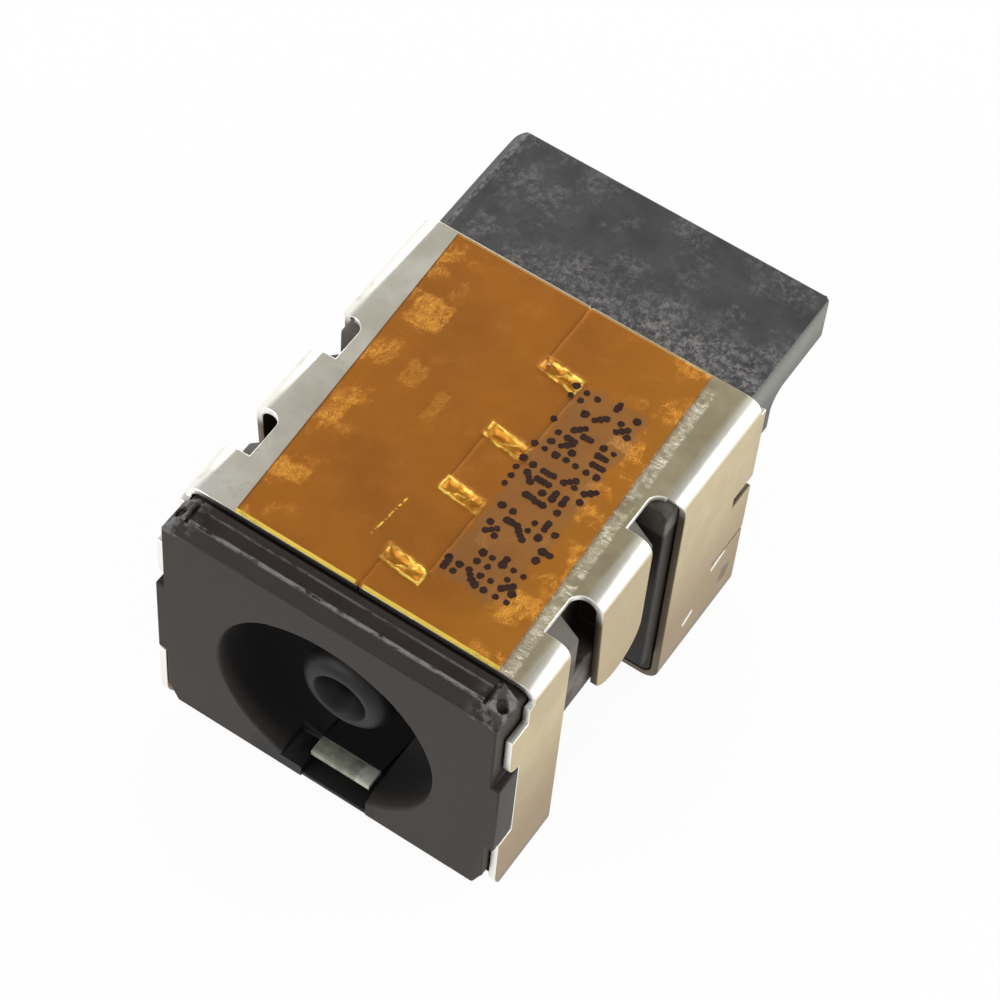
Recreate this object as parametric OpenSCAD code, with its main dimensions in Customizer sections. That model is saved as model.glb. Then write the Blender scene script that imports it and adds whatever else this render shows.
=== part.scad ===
// DC barrel jack with a folded shield shell, for a hollow-barrel plug with a signal pin.
// Frame: X across the face, +Y from the face into the jack, Z up.
// Origin: centre of the footprint, on the surface that the jack stands on.

/* [Shield shell] */
// Outside width of the shell
shell_w = 9.4; // [8.6:0.1:10.6]
// Outside height of the shell
shell_h = 7.95; // [7.5:0.05:8.6]
// Length of the shell's top, from its front edge to its rear edge
shell_len = 9.45; // [9.2:0.05:11]
// Thickness of the sheet
sheet_t = 0.2; // [0.14:0.01:0.26]
// Outside radius of the four long folds
fold_r = 0.45; // [0.35:0.05:0.6]
// How far the side walls run past the top's rear edge
side_overrun = 0.2; // [0.15:0.05:0.5]
// How far the side walls stand ahead of the top's front edge
side_lead = 0.4; // [0.2:0.05:0.6]

/* [Bands and slots] */
// Length of the front band, from the top's front edge to the first slot
front_band = 1.42; // [1.1:0.02:1.7]
// Width of the first slot
slot_1_w = 1.28; // [0.9:0.02:1.5]
// Width of the side finger between the slots
finger_w = 2.04; // [1.7:0.02:2.5]
// Width of the second slot in the side wall
slot_2_w = 1.44; // [1.3:0.02:1.7]
// Width of the second slot where it runs onto the top
slot_2_top_w = 1.2; // [0.9:0.02:1.24]
// How far each slot runs in over the top from the side
slot_inset = 0.75; // [0.65:0.05:1]
// Radius of the slots' inner rear corners
slot_corner_r = 0.3; // [0.1:0.02:0.4]
// Length of the side finger, down from the top
finger_drop = 4.1; // [3.4:0.1:4.2]
// Radius of the finger's rear bottom corner
finger_corner_r = 1; // [0.4:0.1:1.1]
// How much the finger's front edge leans back over its length
finger_taper = 0.2; // [0:0.02:0.3]

/* [Dovetail seam] */
// Gap between the two butted edges
seam_gap = 0.05; // [0.03:0.01:0.08]
// How far the dovetails reach across the seam
dovetail_reach = 1.05; // [0.7:0.05:1.3]
// Length of each dovetail along the seam
dovetail_len = 2.2; // [1.6:0.1:2.4]
// Distance from the front edge to the first dovetail
dovetail_start = 1.05; // [0.8:0.05:1.4]
// Length of plain seam between the dovetails
dovetail_space = 1.85; // [1.5:0.05:2]
// Width of the relief window on each flank of a dovetail
relief_w = 0.3; // [0.2:0.02:0.4]
// How much further each relief window opens towards its outer end
relief_flare = 0.12; // [0:0.02:0.2]

/* [Front hooks] */
// Highest point of the upper hook
hook_top = 6.95; // [6.7:0.05:7.2]
// Lowest point of the upper hook
hook_low = 5.45; // [5:0.05:5.8]
// Highest point of the lower hook
lower_hook_top = 2.45; // [1.9:0.05:2.8]
// How far the left upper hook ends behind the face
hook_setback = 0.12; // [0.12:0.01:0.2]
// How much further back the right hooks end
hook_skew = 0.25; // [0:0.01:0.3]
// How far each lower hook reaches ahead of the upper one
lower_hook_lead = 0.1; // [0.05:0.01:0.1]
// Radius of the upper hooks' lower corners
hook_corner_r = 0.4; // [0.2:0.05:0.5]
// Radius of the lower hooks' lower corners
lower_corner_r = 0.95; // [0.6:0.05:1]

/* [Front housing] */
// Length of the front flange, from the face to the shell's top
flange_len = 1.2; // [1.15:0.05:1.6]
// Height of the flange's underside
face_low = 0.88; // [0.7:0.02:1]
// How far the flange's lip stands above the shell
lip_rise = 0.24; // [0.1:0.02:0.4]
// Chamfer along the top of the face
lip_chamfer = 0.3; // [0.2:0.02:0.4]
// Width of the step between the lip and the shell's front edge
lip_step = 0.3; // [0.2:0.02:0.4]
// Chamfer on the lip's two upper corners
corner_chamfer = 0.42; // [0.3:0.02:0.6]
// Wall of the barrel around the socket
barrel_wall = 0.42; // [0.3:0.02:0.6]
// Height of the underside of the shoulders beside the barrel
shoulder_z = 4.15; // [3.8:0.05:4.4]
// Height of the underside of the rear block ahead of the rear band
block_low = 1.15; // [0.8:0.05:1.3]
// How far the rear block shows ahead of the rear band
rear_block_lead = 0.5; // [0.2:0.05:0.7]
// Groove between the shoulders and the rear block
shoulder_gap = 0.5; // [0.3:0.05:0.7]
// Chamfer on the shoulders' lower edges
shoulder_foot = 0.2; // [0.1:0.05:0.4]
// Chamfer on the shoulders' upper edges
shoulder_chamfer = 0.55; // [0.3:0.05:0.7]

/* [Socket] */
// How far the socket's axis lies below the middle of the shell
axis_drop = 0.075; // [0:0.005:0.15]
// Diameter of the socket
bore_d = 5.65; // [5.3:0.05:5.7]
// Diameter of the lead-in at the face
lead_in_d = 5.95; // [5.8:0.05:6]
// Depth of the lead-in cone
lead_in_depth = 0.45; // [0.3:0.05:0.6]
// Thickness of the wall that ends the socket
end_wall = 0.5; // [0.4:0.05:0.8]

/* [Centre post] */
// Diameter of the post
post_d = 2.4; // [2.2:0.05:2.6]
// Distance from the face to the tip of the post
post_setback = 0.62; // [0.4:0.02:1]
// Rounding of the post's tip
post_tip_r = 0.42; // [0.3:0.02:0.44]
// Diameter of the pin hole
pin_hole_d = 0.9; // [0.8:0.05:1]
// Diameter of the mouth of the pin hole
pin_mouth_d = 1.44; // [1.2:0.02:1.46]
// Depth of the pin hole's conical mouth
pin_mouth_depth = 0.6; // [0.4:0.05:0.8]

/* [Contacts] */
// Thickness of the contact strips
strip_t = 0.15; // [0.1:0.01:0.18]
// Width of the ground leaves
leaf_w = 1.65; // [1.3:0.05:1.9]
// Sideways offset of the ground leaves
leaf_offset = 0.3; // [0:0.05:0.4]
// How far a ground leaf bows into the socket
leaf_bow = 0.4; // [0.2:0.05:0.5]
// Width of the two inner contact beams
beam_w = 0.8; // [0.6:0.05:0.9]
// How far a beam bows out beyond the post
beam_bow = 0.15; // [0.05:0.01:0.2]
// Outside diameter of the signal contact's sleeve
sleeve_d = 1.25; // [1.15:0.05:1.3]
// Width of each terminal tail
tail_w = 0.5; // [0.4:0.05:0.8]
// Spacing of the terminal tails
tail_pitch = 1.6; // [1.4:0.05:1.7]

/* [Terminal block] */
// How far the block reaches into the shell, under its top
block_inset = 0.7; // [0.5:0.05:0.9]
// Distance from the face to the rear of the roof
total_len = 14.2; // [13.8:0.05:14.8]
// Thickness of the roof
roof_t = 1.3; // [1:0.05:1.6]
// Height of the underside of the beam that carries the roof
beam_z = 5.4; // [5.1:0.05:5.6]
// How far that beam reaches behind the shell's side walls
beam_reach = 1; // [0.8:0.05:1.4]
// Drop of the roof below the shell's top
roof_drop = 0.05; // [0:0.01:0.15]
// How far the roof's sides stand in from the block's sides
roof_inset = 0.06; // [0.02:0.02:0.2]
// Chamfer along the left side of the roof
roof_chamfer = 0.28; // [0.1:0.02:0.4]
// Chamfer along the right side of the roof
right_chamfer = 0.06; // [0.02:0.02:0.4]
// Radius of the roof's rear corners
roof_corner_r = 0.2; // [0.15:0.05:0.6]

/* [Tape] */
// Width of the tape
tape_w = 7; // [6.4:0.1:7.2]
// Thickness of the tape
tape_t = 0.06; // [0.04:0.01:0.1]
// Angle by which the tape lies askew
tape_skew = 2.3; // [0:0.1:2.5]
// Distance from the tape's rear edge to the shell's rear edge
tape_setback = 0.22; // [0.2:0.02:0.5]

/* [Fits] */
// Clearance between pieces that are pushed together
fit = 0.03; // [0.02:0.01:0.05]

/* [Hidden] */
$fn = 64;

// The plastic pieces fill this section inside the shell.
inner_w = shell_w - 2 * sheet_t - 2 * fit;
inner_h = shell_h - 2 * sheet_t - 2 * fit;
inner_r = fold_r - sheet_t;
inner_z = sheet_t + fit;
bore_r = bore_d / 2;
axis_h = shell_h / 2 - axis_drop;

// Places along Y, measured from the face.
shell_y = flange_len;
shell_end = shell_y + shell_len;
side_y = shell_y - side_lead;
side_end = shell_end + side_overrun;
slot_1_y = shell_y + front_band;
finger_y = slot_1_y + slot_1_w;
slot_2_y = finger_y + finger_w;
rear_band_y = slot_2_y + slot_2_w;
rear_block_y = rear_band_y - rear_block_lead;
shoulder_end = rear_block_y - shoulder_gap;
carrier_y = shell_end - block_inset; // rear face of the front housing
bore_depth = carrier_y - end_wall;
block_end = side_end - 0.1;        // rear face of the terminal block below its beam
beam_y = side_end + beam_reach;    // rear face of the beam that carries the roof
tail_end = beam_y;
fold_z = shell_h - fold_r;         // where the upper folds end on the side walls
finger_z = shell_h - finger_drop;
slot_x = shell_w / 2 - slot_inset;
slot_reach = 2 * slot_inset;       // the slots' cuts run out past the side walls
big = 30;                          // longer than the part

// Stands the 2D children up in the XZ plane and extrudes them from y along +Y.
module along_y(y, len) {
    translate([0, y + len, 0]) rotate([90, 0, 0]) linear_extrude(len) children();
}

// Stands the 2D children up in the YZ plane and extrudes them from x along +X.
module along_x(x, len) {
    translate([x, 0, 0]) rotate([90, 0, 90]) linear_extrude(len) children();
}

// A cylinder along +Y on the socket's axis.
module rod(y, len, d, d_end = 0) {
    translate([0, y, axis_h]) rotate([-90, 0, 0])
        cylinder(h = len, d1 = d, d2 = d_end == 0 ? d : d_end);
}

// A rectangle with round corners, centred on X, with its bottom edge at z.
module round_rect(w, h, r, z) {
    translate([-w / 2 + r, z]) square([w - 2 * r, h]);
    translate([-w / 2, z + r]) square([w, h - 2 * r]);
    for (x = [-w / 2 + r, w / 2 - r], y = [z + r, z + h - r])
        translate([x, y]) circle(r);
}

module inner_section() { round_rect(inner_w, inner_h, inner_r, inner_z); }

// A strip of thickness t whose centre line passes through the points.
module strip(points, t) {
    last = len(points) - 1;
    polygon(concat([for (p = points) [p[0], p[1] + t / 2]],
                   [for (i = [last:-1:0]) [points[i][0], points[i][1] - t / 2]]));
}

// ---- Shield shell -------------------------------------------------------

module shell_ring() {
    difference() {
        round_rect(shell_w, shell_h, fold_r, 0);
        round_rect(shell_w - 2 * sheet_t, shell_h - 2 * sheet_t, fold_r - sheet_t, sheet_t);
    }
}

// The side view of what is cut from each side wall, between the bands.
module slot_view() {
    translate([slot_1_y, -1]) square([slot_1_w, shell_h + 2]);
    // the second slot narrows over the fold
    top_y = slot_2_y + slot_2_top_w;
    polygon([[slot_2_y, -1], [rear_band_y, -1], [rear_band_y, fold_z - 0.1], [top_y, shell_h],
             [top_y, shell_h + 1], [slot_2_y, shell_h + 1]]);
    difference() {
        translate([finger_y - 0.1, -1]) square([finger_w + 0.2, fold_z + 1]);
        finger_view();
    }
}

// The side finger in side view: it leans back in front and ends round.
module finger_view() {
    r = finger_corner_r;
    difference() {
        union() {
            translate([finger_y, finger_z + r]) square([finger_w, shell_h]);
            translate([slot_2_y - r, finger_z + r]) circle(r);
        }
        polygon([[finger_y - 1, fold_z], [finger_y, fold_z], [finger_y + finger_taper, finger_z + r / 2],
                 [finger_y + finger_taper, finger_z - 1], [finger_y - 1, finger_z - 1]]);
    }
}

// The slots seen from above, on the right; their inner rear corners are rounded.
module slot_plan() {
    r = slot_corner_r;
    translate([slot_x + r, 0]) square([slot_reach, shell_end]);
    for (end = [finger_y, slot_2_y + slot_2_top_w]) {
        translate([slot_x, end - 1]) square([r + 0.1, 1 - r]);
        translate([slot_x + r, end - r]) circle(r);
    }
    translate([slot_x, slot_1_y]) square([r + 0.1, slot_1_w - r]);
    translate([slot_x, slot_2_y]) square([r + 0.1, slot_2_top_w - r]);
}

module slots(side) {
    intersection() {
        along_x(side > 0 ? slot_x : -slot_x - slot_reach, slot_reach) slot_view();
        translate([0, 0, -1]) mirror([side > 0 ? 0 : 1, 0, 0]) linear_extrude(shell_h + 2) slot_plan();
    }
}

// The outline of a hook that ends at y, between two heights, rounded below.
module hook_view(y, low, high, r) {
    translate([y, low + r]) square([side_y - y + 0.1, high - low - r]);
    translate([y + r, low]) square([shell_y, r + 0.1]);
    translate([y + r, low + r]) circle(r);
}

// The side view of what is cut away ahead of a side wall and its two hooks.
module front_edge_view(side) {
    upper = hook_setback + (side > 0 ? hook_skew : 0);
    difference() {
        translate([-1, -1]) square([shell_y + 1, shell_h + 2]);
        translate([side_y, lower_hook_top - 0.1]) square([side_lead, hook_top - lower_hook_top + 0.1]);
        translate([shell_y - fold_lead, hook_top - 0.1]) square([fold_lead, fold_z - hook_top + 0.1]);
        hook_view(upper, hook_low, hook_top, hook_corner_r);
        hook_view(upper - lower_hook_lead, 0, lower_hook_top, lower_corner_r);
        translate([side_y, lower_corner_r]) square([side_lead, lower_hook_top - lower_corner_r]);
    }
}
fold_lead = side_lead / 2;         // how far the wall above the hook stands ahead of the top

// The seam follows the centre line of the top, round two dovetails.
module seam_view() {
    g = seam_gap;
    pitch = dovetail_len + dovetail_space;
    starts = [for (i = [0:1]) shell_y + dovetail_start + i * pitch];
    translate([-g / 2, shell_y - 1]) square([g, dovetail_start + 1]);
    translate([-g / 2, starts[0] + dovetail_len]) square([g, dovetail_space]);
    translate([-g / 2, starts[1] + dovetail_len]) square([g, shell_len]);
    for (y = starts) {
        translate([dovetail_reach - g, y]) square([g, dovetail_len]);
        relief(y);
        translate([0, 2 * y + dovetail_len]) mirror([0, 1]) relief(y);
    }
}

// A relief window on the front flank of the dovetail that starts at y.
module relief(y) {
    polygon([[-seam_gap / 2, y - relief_w / 2],
             [dovetail_reach, y - relief_w / 2 - relief_flare],
             [dovetail_reach, y + relief_w / 2],
             [-seam_gap / 2, y + relief_w / 2]]);
}

module shield_shell() {
    color("silver") difference() {
        along_y(0, side_end) shell_ring();
        // the top ends inside the side walls
        translate([-big / 2, shell_end, fold_z]) cube([big, big, big]);
        translate([-slot_x, -1, sheet_t * 2]) cube([2 * slot_x, shell_y + 1, big]);
        for (side = [-1, 1]) {
            along_x(side > 0 ? slot_x : -big / 2, big / 2 - (side > 0 ? 0 : slot_x)) front_edge_view(side);
            slots(side);
            along_x(side > 0 ? shell_w / 4 : -shell_w / 2 - 1, shell_w / 4 + 1) rear_edge_view();
        }
        // the floor starts behind the hooks
        translate([-slot_x, -1, -1]) cube([2 * slot_x, side_y + 1, 1 + 2 * sheet_t]);
        // open underneath, between the front and rear bands
        translate([-big / 2, slot_1_y, -1]) cube([big, rear_band_y - slot_1_y, 1 + 2 * sheet_t]);
        translate([0, 0, shell_h - 2 * sheet_t]) linear_extrude(1) seam_view();
    }
}

// What is cut from the rear edge of each side wall: a notch, and the slit above a lock tab.
notch_z = 4.4;
notch_h = 0.42;
notch_depth = 0.85;
lock_slit_z = 2.55;
lock_slit_w = 0.12;
lock_slit_len = 1.4;
module rear_edge_view() {
    translate([side_end - notch_depth, notch_z]) square([notch_depth + 1, notch_h]);
    translate([side_end - lock_slit_len, lock_slit_z]) square([lock_slit_len + 1, lock_slit_w]);
}

// ---- Front housing ------------------------------------------------------

lip_top = shell_h + lip_rise;
lug_top = hook_low - 0.12;
lug_bottom = lower_hook_top + 0.12;
leaf_groove_w = leaf_w + 0.16;

// The flange: its face, its lip over the shell, and the lugs between the hooks.
module flange() {
    c = corner_chamfer;
    along_y(0, shell_y - lip_step)
        polygon([[inner_r - inner_w / 2, face_low], [inner_w / 2 - inner_r, face_low],
                 [inner_w / 2, face_low + inner_r], [inner_w / 2, lip_top - c],
                 [inner_w / 2 - c, lip_top], [c - inner_w / 2, lip_top],
                 [-inner_w / 2, lip_top - c], [-inner_w / 2, face_low + inner_r]]);
    along_y(0, side_y - 0.05)
        translate([-shell_w / 2, lug_bottom]) square([shell_w, lug_top - lug_bottom]);
    along_y(shell_y - lip_step - 0.1, lip_step + 0.2) inner_section();
}

// The shoulders beside the barrel carry the side fingers.
module shoulders() {
    half = inner_w / 2;
    top = inner_z + inner_h;
    c = shoulder_chamfer;
    foot = shoulder_foot;
    along_y(slot_1_y - 0.2, shoulder_end - slot_1_y + 0.2)
        polygon([[foot - half, shoulder_z], [half - foot, shoulder_z], [half, shoulder_z + foot],
                 [half, top - c], [half - c, top], [c - half, top], [-half, top - c],
                 [-half, shoulder_z + foot]]);
}

// A window in each shoulder, half hidden by the finger's front edge.
window_lead = 0.56;
window_len = 1.3;
window_depth = 0.75;
window_z = shell_h - 2.2;
module shoulder_windows() {
    for (side = [-1, 1])
        translate([side * inner_w / 2 - window_depth, finger_y - window_lead, window_z])
            cube([2 * window_depth, window_len, shell_h]);
}

// The slit and the pit on each upper corner of the lip.
slit_w = 0.1;
pit_d = 0.26;
module lip_corner_marks() {
    for (side = [-1, 1]) {
        translate([side * (inner_w / 2 - corner_chamfer - slit_w) - slit_w / 2, 0.25, lip_top - 0.1])
            cube([slit_w, shell_y, 1]);
        translate([side * (inner_w / 2 - corner_chamfer / 2), 0.5, lip_top - corner_chamfer])
            cylinder(h = 1, d = pit_d);
    }
}

// The keel under the barrel holds the lower leaf's groove.
module keel() {
    w = leaf_groove_w + 2 * keel_wall;
    low = leaf_low_z - strip_t / 2 - keel_wall;
    translate([leaf_offset - w / 2, slot_1_y - 0.2, low])
        cube([w, rear_band_y - slot_1_y + 0.4, bore_r / 2]);
}
keel_wall = 0.25;

module leaf_groove(z, h) {
    translate([leaf_offset - leaf_groove_w / 2, -1, z]) cube([leaf_groove_w, big, h]);
}

module front_housing() {
    color("dimgray") difference() {
        union() {
            flange();
            along_y(shell_y - 0.1, slot_1_y - shell_y + 0.05) inner_section();
            intersection() {
                rod(slot_1_y - 0.2, rear_block_y - slot_1_y + 0.4, bore_d + 2 * barrel_wall);
                along_y(0, big) translate([-shell_w / 2, inner_z]) square([shell_w, shell_h]);
            }
            shoulders();
            keel();
            along_y(rear_block_y, rear_band_y - rear_block_y + 0.1) intersection() {
                inner_section();
                translate([-shell_w, block_low]) square([2 * shell_w, shell_h]);
            }
            along_y(rear_band_y, carrier_y - rear_band_y) inner_section();
        }
        rod(-1, big, bore_d);
        rod(-0.001, lead_in_depth, lead_in_d, bore_d);
        // chamfer along the top of the face
        along_x(-shell_w / 2 - 1, shell_w + 2)
            polygon([[-1, lip_top - lip_chamfer - 1], [lip_chamfer + 1, lip_top + 1], [-1, lip_top + 1]]);
        lower_leaf_room();
        upper_leaf_room();
        shoulder_windows();
        lip_corner_marks();
    }
}

// ---- Contacts -----------------------------------------------------------

leaf_depth = 0.1;                  // how deep the leaves lie outside the bore
leaf_low_z = axis_h - bore_r - leaf_depth - strip_t / 2;
leaf_high_z = axis_h + bore_r + leaf_depth + strip_t / 2;
leaf_crest_y = 0.28;               // where the lower leaf starts with its crest
leaf_crest_len = 0.4;
leaf_slope_len = 1.6;
upper_crest_y = leaf_crest_y + 1.8;
leg_y = carrier_y + 0.1;           // where the ground leaves turn towards their tails
leg_x = 2 * tail_pitch;

module lower_leaf_line(t) {
    crest = axis_h - bore_r + leaf_bow - strip_t / 2;
    end = leaf_crest_y + leaf_crest_len;
    strip([[leaf_crest_y, crest - 0.03], [leaf_crest_y + 0.1, crest], [end, crest],
           [end + leaf_slope_len, leaf_low_z], [leg_y + 0.4, leaf_low_z]], t);
}

module upper_leaf_line(t) {
    crest = axis_h + bore_r - leaf_bow + strip_t / 2;
    end = upper_crest_y + leaf_crest_len;
    strip([[upper_crest_y - 0.5, crest + 0.2], [upper_crest_y, crest], [end, crest],
           [end + leaf_slope_len, leaf_high_z], [leg_y + 0.4, leaf_high_z]], t);
}

// The cross bar, leg and tail that take a ground leaf to its terminal.
module leaf_tail(side, z, grow) {
    w = tail_w + 2 * grow;
    t = strip_t + 2 * grow;
    low = min(z, axis_h) - t / 2;
    reach = leg_x + w / 2;
    translate([side > 0 ? -leaf_w / 2 : -reach, leg_y - grow, z - t / 2])
        cube([reach + leaf_w / 2, 0.4 + 2 * grow, t]);
    translate([side * leg_x - w / 2, leg_y - grow, low])
        cube([w, t, abs(axis_h - z) + t]);
    translate([side * leg_x - w / 2, leg_y - grow, axis_h - t / 2])
        cube([w, tail_end - leg_y + grow, t]);
}

module ground_leaf_lower() {
    color("silver") {
        along_x(leaf_offset - leaf_w / 2, leaf_w) lower_leaf_line(strip_t);
        leaf_tail(-1, leaf_low_z, 0);
    }
}

module ground_leaf_upper() {
    color("silver") {
        along_x(leaf_offset - leaf_w / 2, leaf_w) upper_leaf_line(strip_t);
        leaf_tail(1, leaf_high_z, 0);
    }
}

// The groove under the lower leaf ends in a wider pocket that is open through the face.
module lower_leaf_room() {
    leaf_groove(leaf_low_z - strip_t / 2 - fit, bore_r / 2);
    translate([-notch_w / 2, -1, face_low + 0.12])
        cube([notch_w, 1 + 2 * lead_in_depth, bore_r / 2]);
}
notch_w = 2.3;

module upper_leaf_room() {
    leaf_groove(axis_h, bore_r + leaf_depth + strip_t + fit);
}

// One beam of the inner contact: it lies in the post's groove and bows out of it.
module inner_line(t) {
    root = post_d / 2 - 0.3;
    crest = post_d / 2 + beam_bow - strip_t / 2;
    mid = (beam_front + bore_depth) / 2;
    strip([[beam_front, root], [beam_front + 1, root + 0.1], [mid - 0.4, crest], [mid + 0.4, crest],
           [bore_depth - 1, root], [leg_y, root], [leg_y + 0.5, tail_pitch],
           [tail_end, tail_pitch]], t);
}
beam_front = post_setback + 2.2;

module inner_beam(side, grow) {
    // the line is drawn as (Y, X) and mirrored to each side
    translate([0, 0, axis_h - beam_w / 2 - grow]) linear_extrude(beam_w + 2 * grow)
        mirror([1, -1]) mirror([0, side > 0 ? 0 : 1]) inner_line(strip_t + 2 * grow);
}

module inner_contact_left() { color("gold") inner_beam(-1, 0); }

module inner_contact_right() { color("gold") inner_beam(1, 0); }

sleeve_y = post_setback + 2.4;
sleeve_len = 3;

module signal_contact() {
    color("gold") difference() {
        union() {
            rod(sleeve_y, sleeve_len, sleeve_d);
            rod(sleeve_y + sleeve_len - 0.1, tail_end - sleeve_y - sleeve_len + 0.1, tail_w);
        }
        rod(sleeve_y - 0.1, sleeve_len - 0.4, pin_hole_d);
    }
}

// ---- Centre post --------------------------------------------------------

post_end = carrier_y + 0.4;

module centre_post() {
    r = post_tip_r;
    y = post_setback;
    color("dimgray") difference() {
        // the rounded tip is turned about the axis
        translate([0, y, axis_h]) rotate([-90, 0, 0]) rotate_extrude() {
            translate([0, r]) square([post_d / 2, post_end - y - r]);
            square([post_d / 2 - r, r + 0.1]);
            translate([post_d / 2 - r, r]) circle(r);
        }
        rod(y - 0.001, pin_mouth_depth, pin_mouth_d, pin_hole_d);
        rod(y, sleeve_y - y, pin_hole_d);
        rod(sleeve_y, big, tail_w + 2 * fit);
        rod(sleeve_y - fit, sleeve_len + 2 * fit, sleeve_d + 2 * fit);
        for (side = [-1, 1]) beam_groove(side);
    }
}

module beam_groove(side) {
    w = beam_w + 2 * fit;
    deep = 0.3 + strip_t / 2 + fit;
    translate([side > 0 ? post_d / 2 - deep : -post_d / 2 - 1, beam_front - 0.1, axis_h - w / 2])
        cube([deep + 1, big, w]);
}

// ---- Terminal block -----------------------------------------------------

roof_z = shell_h - roof_drop;
roof_half = inner_w / 2 - roof_inset;

module roof_plan() {
    r = roof_corner_r;
    w = 2 * roof_half;
    translate([-w / 2, shell_end + fit]) square([w, total_len - shell_end - fit - r]);
    translate([-w / 2 + r, total_len - r - 0.1]) square([w - 2 * r, r + 0.1]);
    for (x = [-w / 2 + r, w / 2 - r]) translate([x, total_len - r]) circle(r);
}

// What the chamfer along one side of the roof takes away.
module roof_edge(side, c) {
    along_y(shell_end, big)
        polygon([[side * roof_half, roof_z - c], [side * (roof_half + 1), roof_z - c],
                 [side * (roof_half + 1), roof_z + 1], [side * (roof_half - c), roof_z + 1],
                 [side * (roof_half - c), roof_z]]);
}

module terminal_block() {
    web_r = 0.5;
    color("dimgray") difference() {
        union() {
            along_y(carrier_y, block_end - carrier_y) inner_section();
            rod(bore_depth, carrier_y - bore_depth + 0.1, bore_d - 2 * fit);
            along_y(block_end - 0.1, beam_y - block_end + 0.1)
                translate([-roof_half, beam_z]) square([2 * roof_half, roof_z - beam_z - 0.1]);
            translate([0, 0, roof_z - roof_t]) linear_extrude(roof_t) roof_plan();
            // the round web between the beam and the roof
            along_x(-roof_half, 2 * roof_half) difference() {
                translate([beam_y - 0.1, roof_z - roof_t - web_r]) square([web_r + 0.1, web_r + 0.1]);
                translate([beam_y + web_r, roof_z - roof_t - web_r]) circle(web_r);
            }
        }
        // chamfers along the roof's sides
        roof_edge(-1, roof_chamfer);
        roof_edge(1, right_chamfer);
        rod(0, post_end + fit, post_d + 2 * fit);
        rod(0, big, tail_w + 2 * fit);
        for (side = [-1, 1]) inner_beam(side, fit);
        leaf_tail(-1, leaf_low_z, fit);
        leaf_tail(1, leaf_high_z, fit);
        along_x(leaf_offset - leaf_w / 2 - fit, leaf_w + 2 * fit) {
            lower_leaf_line(strip_t + 2 * fit);
            upper_leaf_line(strip_t + 2 * fit);
        }
    }
}

// ---- Tape ---------------------------------------------------------------

module tape() {
    len = shell_len - tape_setback;
    color("darkgoldenrod") translate([0, 0, shell_h]) linear_extrude(tape_t) intersection() {
        translate([0, shell_y + len / 2]) rotate(tape_skew)
            translate([-tape_w / 2, -len / 2 - 1]) square([tape_w, len + 1]);
        translate([-shell_w / 2, shell_y]) square([shell_w, shell_len - 0.02]);
    }
}

// ---- Assembly -----------------------------------------------------------

module placed() { translate([0, -total_len / 2, 0]) children(); }

placed() front_housing();
placed() terminal_block();
placed() centre_post();
placed() signal_contact();
placed() inner_contact_left();
placed() inner_contact_right();
placed() ground_leaf_lower();
placed() ground_leaf_upper();
placed() shield_shell();
placed() tape();
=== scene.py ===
"""Finishes, tape and studio for the small dc barrel jack.

Row frame: X across the face, +Y from the face into the jack, Z up. Lengths are in
millimetres, and are turned into metres where a mesh is made. Only the camera, the floor, the
lamps and the thresholds of mesh edits are written in metres.
"""

import math
import random

import bmesh
import bpy
from mathutils import Matrix, Vector, noise


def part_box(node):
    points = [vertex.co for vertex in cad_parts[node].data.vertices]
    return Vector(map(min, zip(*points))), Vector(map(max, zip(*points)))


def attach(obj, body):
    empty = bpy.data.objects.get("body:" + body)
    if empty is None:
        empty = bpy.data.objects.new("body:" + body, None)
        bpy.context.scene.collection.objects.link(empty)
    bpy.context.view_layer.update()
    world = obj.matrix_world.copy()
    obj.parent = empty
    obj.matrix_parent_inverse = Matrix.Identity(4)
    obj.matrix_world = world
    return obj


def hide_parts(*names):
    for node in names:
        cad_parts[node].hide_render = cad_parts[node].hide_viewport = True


MM = 0.001

# a hair's breadth, which keeps two faces from sharing a plane
HAIR = 0.004

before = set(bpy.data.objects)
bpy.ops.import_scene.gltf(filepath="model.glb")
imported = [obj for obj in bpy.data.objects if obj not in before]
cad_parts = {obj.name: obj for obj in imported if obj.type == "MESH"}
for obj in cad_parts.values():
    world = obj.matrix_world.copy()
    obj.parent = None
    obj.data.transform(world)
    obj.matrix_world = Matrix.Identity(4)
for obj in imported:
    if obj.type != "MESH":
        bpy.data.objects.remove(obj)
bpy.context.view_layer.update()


def box_mm(node):
    """Lowest and highest corner of a node, in millimetres."""
    low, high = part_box(node)
    return [v / MM for v in low], [v / MM for v in high]


shell_high = box_mm("shield_shell")[1]
tape_low, tape_high = box_mm("tape")
housing_low, housing_high = box_mm("front_housing")
block_high = box_mm("terminal_block")[1]
post_low, post_high = box_mm("centre_post")

FACE_Y = housing_low[1]
LIP_TOP = housing_high[2]
SHELL_TOP = shell_high[2]
SHELL_HALF = shell_high[0]
SHELL_FRONT = tape_low[1]
SHELL_LEN = 9.45
SHELL_BACK = SHELL_FRONT + SHELL_LEN
FOLD_R = 0.45
SHEET_T = 0.2
AXIS_Z = (post_low[2] + post_high[2]) / 2
ROOF_Z = block_high[2]
ROOF_HALF = block_high[0]

# the tape ends ahead of the shell's rear edge, and leans a little to the left
TAPE_SKEW = math.radians(2.3)
TAPE_HALF = 3.5
TAPE_LEN = SHELL_LEN - 0.22
TAPE_MIDDLE_Y = SHELL_FRONT + TAPE_LEN / 2
TAPE_T = tape_high[2] - tape_low[2]
FILM_T = 0.05
# its front edge is cut at a slant: how far back this starts, and how far down it goes
FRONT_SLANT = 0.08
SLANT_DROP = 0.045

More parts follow.
